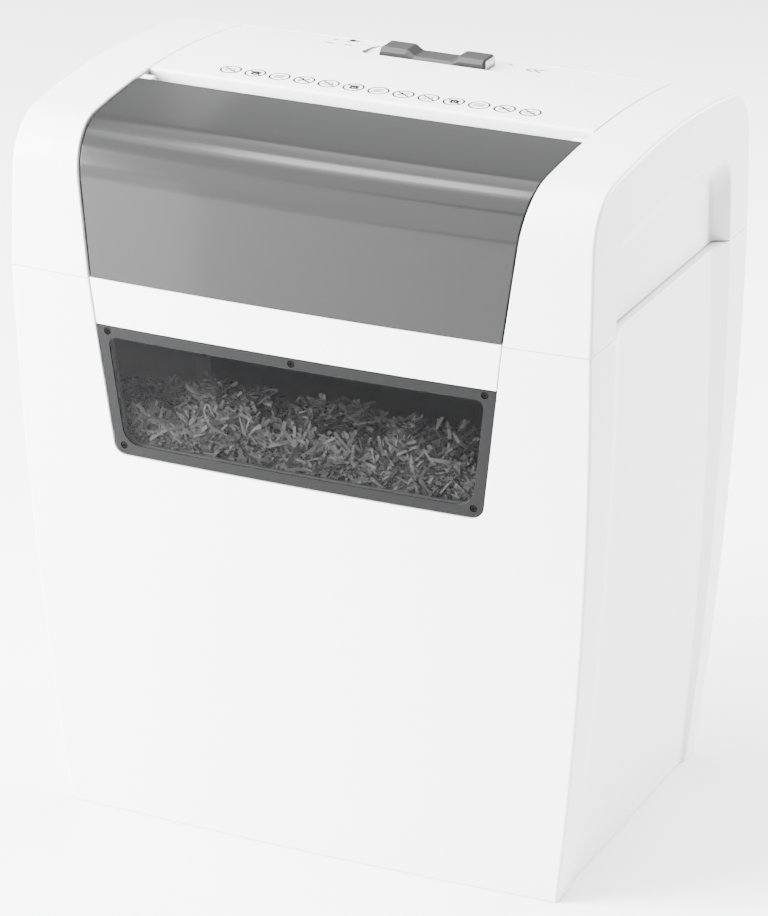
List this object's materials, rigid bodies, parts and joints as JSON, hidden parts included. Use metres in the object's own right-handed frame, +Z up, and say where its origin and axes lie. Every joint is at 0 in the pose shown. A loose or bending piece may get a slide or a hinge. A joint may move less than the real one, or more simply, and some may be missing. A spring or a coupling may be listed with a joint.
{
  "type": "paper shredder",
  "caption": "Free-standing home paper shredder: a lift-off cutting head with a top feed slot and slider sits on a tapered bin with a smoked window.",
  "frame": {"origin": "on the floor, under the centre of the bin", "axes": "+X to the right seen from the front, +Y to the rear, +Z up"},
  "size_m": [0.3136, 0.2178, 0.3844],
  "materials": {
    "white_plastic": "satin",
    "grey_gloss": "high gloss",
    "smoked_window": "gloss, see-through",
    "grey_slider": "satin",
    "black_plastic": "matte",
    "pale_plastic": "matte",
    "gear_plastic": "satin",
    "steel": "brushed",
    "dark_steel": "oiled",
    "bronze": "satin",
    "board_green": "satin",
    "relay_blue": "matte",
    "capacitor_yellow": "satin",
    "lead_red": "matte",
    "rubber_black": "matte",
    "switch_red": "matte",
    "plunger_orange": "satin",
    "magnet": "matte"
  },
  "bodies": {
    "bin": {"bin_shell": "white_plastic", "window": "smoked_window", "window_screws": "dark_steel"},
    "head": {"chassis": "pale_plastic", "left_cheek": "white_plastic", "right_cheek": "white_plastic", "top_cover": "white_plastic", "front_panel": "grey_gloss", "front_skirt": "white_plastic", "rear_cover": "white_plastic", "feed_throat": "white_plastic", "cover_screws": "steel", "slide_switch": "black_plastic", "switch_bracket": "steel", "left_plate": "steel", "right_plate": "steel", "tie_rods": "steel", "shaft_bushes": "bronze", "front_stripper": "black_plastic", "rear_stripper": "black_plastic", "gearbox_cover": "black_plastic", "gearbox_pillars": "steel", "gear_axles": "steel", "motor_can": "steel", "motor_magnets": "magnet", "motor_end_cap": "black_plastic", "motor_brushes": "magnet", "motor_screws": "steel", "circuit_board": "board_green", "board_posts": "pale_plastic", "relays": "relay_blue", "mains_capacitor": "capacitor_yellow", "board_terminals": "pale_plastic", "thermal_cutout": "black_plastic", "motor_leads": "lead_red", "cord_gland": "rubber_black", "interlock_switch": "switch_red", "sensor_switch": "switch_red"},
    "slider": {"slider_knob": "grey_slider"},
    "rear_cutter": {"rear_shaft": "steel", "rear_discs": "dark_steel", "rear_spacers": "pale_plastic", "rear_gear": "steel", "rear_ring": "dark_steel", "final_gear": "gear_plastic"},
    "front_cutter": {"front_shaft": "steel", "front_discs": "dark_steel", "front_spacers": "pale_plastic", "front_gear": "steel", "front_ring": "dark_steel"},
    "second_gear": {"second_compound_gear": "gear_plastic"},
    "first_gear": {"first_compound_gear": "gear_plastic"},
    "rotor": {"motor_rotor": "steel", "motor_pinion": "bronze"},
    "plunger": {"interlock_plunger": "plunger_orange", "plunger_spring": "steel"},
    "lever": {"paper_lever": "black_plastic"}
  },
  "joints": [
    {"name": "head_lift", "type": "slide", "parent": "bin", "child": "head", "axis": [0, 0, 1], "range_m": [0, 0.2]},
    {"name": "slider_travel", "type": "slide", "parent": "head", "child": "slider", "axis": [1, 0, 0], "range_m": [-0.008, 0.008]},
    {"name": "rear_cutter_spin", "type": "hinge", "parent": "head", "child": "rear_cutter", "pos_m": [0, -0.008, 0.334], "axis": [1, 0, 0], "continuous": true},
    {"name": "front_cutter_spin", "type": "hinge", "parent": "head", "child": "front_cutter", "pos_m": [0, -0.044, 0.334], "axis": [1, 0, 0], "continuous": true},
    {"name": "second_gear_spin", "type": "hinge", "parent": "head", "child": "second_gear", "pos_m": [0, 0.03192, 0.33657], "axis": [1, 0, 0], "continuous": true},
    {"name": "first_gear_spin", "type": "hinge", "parent": "head", "child": "first_gear", "pos_m": [0, 0.06231, 0.3529], "axis": [1, 0, 0], "continuous": true},
    {"name": "rotor_spin", "type": "hinge", "parent": "head", "child": "rotor", "pos_m": [0, 0.048, 0.33], "axis": [1, 0, 0], "continuous": true},
    {"name": "plunger_slide", "type": "slide", "parent": "head", "child": "plunger", "axis": [0, 0, 1], "range_m": [-0.003, 0], "deforming": ["plunger_spring"]},
    {"name": "lever_tip", "type": "hinge", "parent": "head", "child": "lever", "pos_m": [0, -0.012, 0.366], "axis": [1, 0, 0], "range_deg": [0, 20]}
  ],
  "couplings": [
    {"joint": "front_cutter_spin", "follows": "rear_cutter_spin", "ratio": -1},
    {"joint": "second_gear_spin", "follows": "rear_cutter_spin", "ratio": -2.3333},
    {"joint": "first_gear_spin", "follows": "rear_cutter_spin", "ratio": 6.6111},
    {"joint": "rotor_spin", "follows": "rear_cutter_spin", "ratio": -23.139},
    {"joint": "plunger_slide", "follows": "head_lift", "ratio": -0.015}
  ]
}
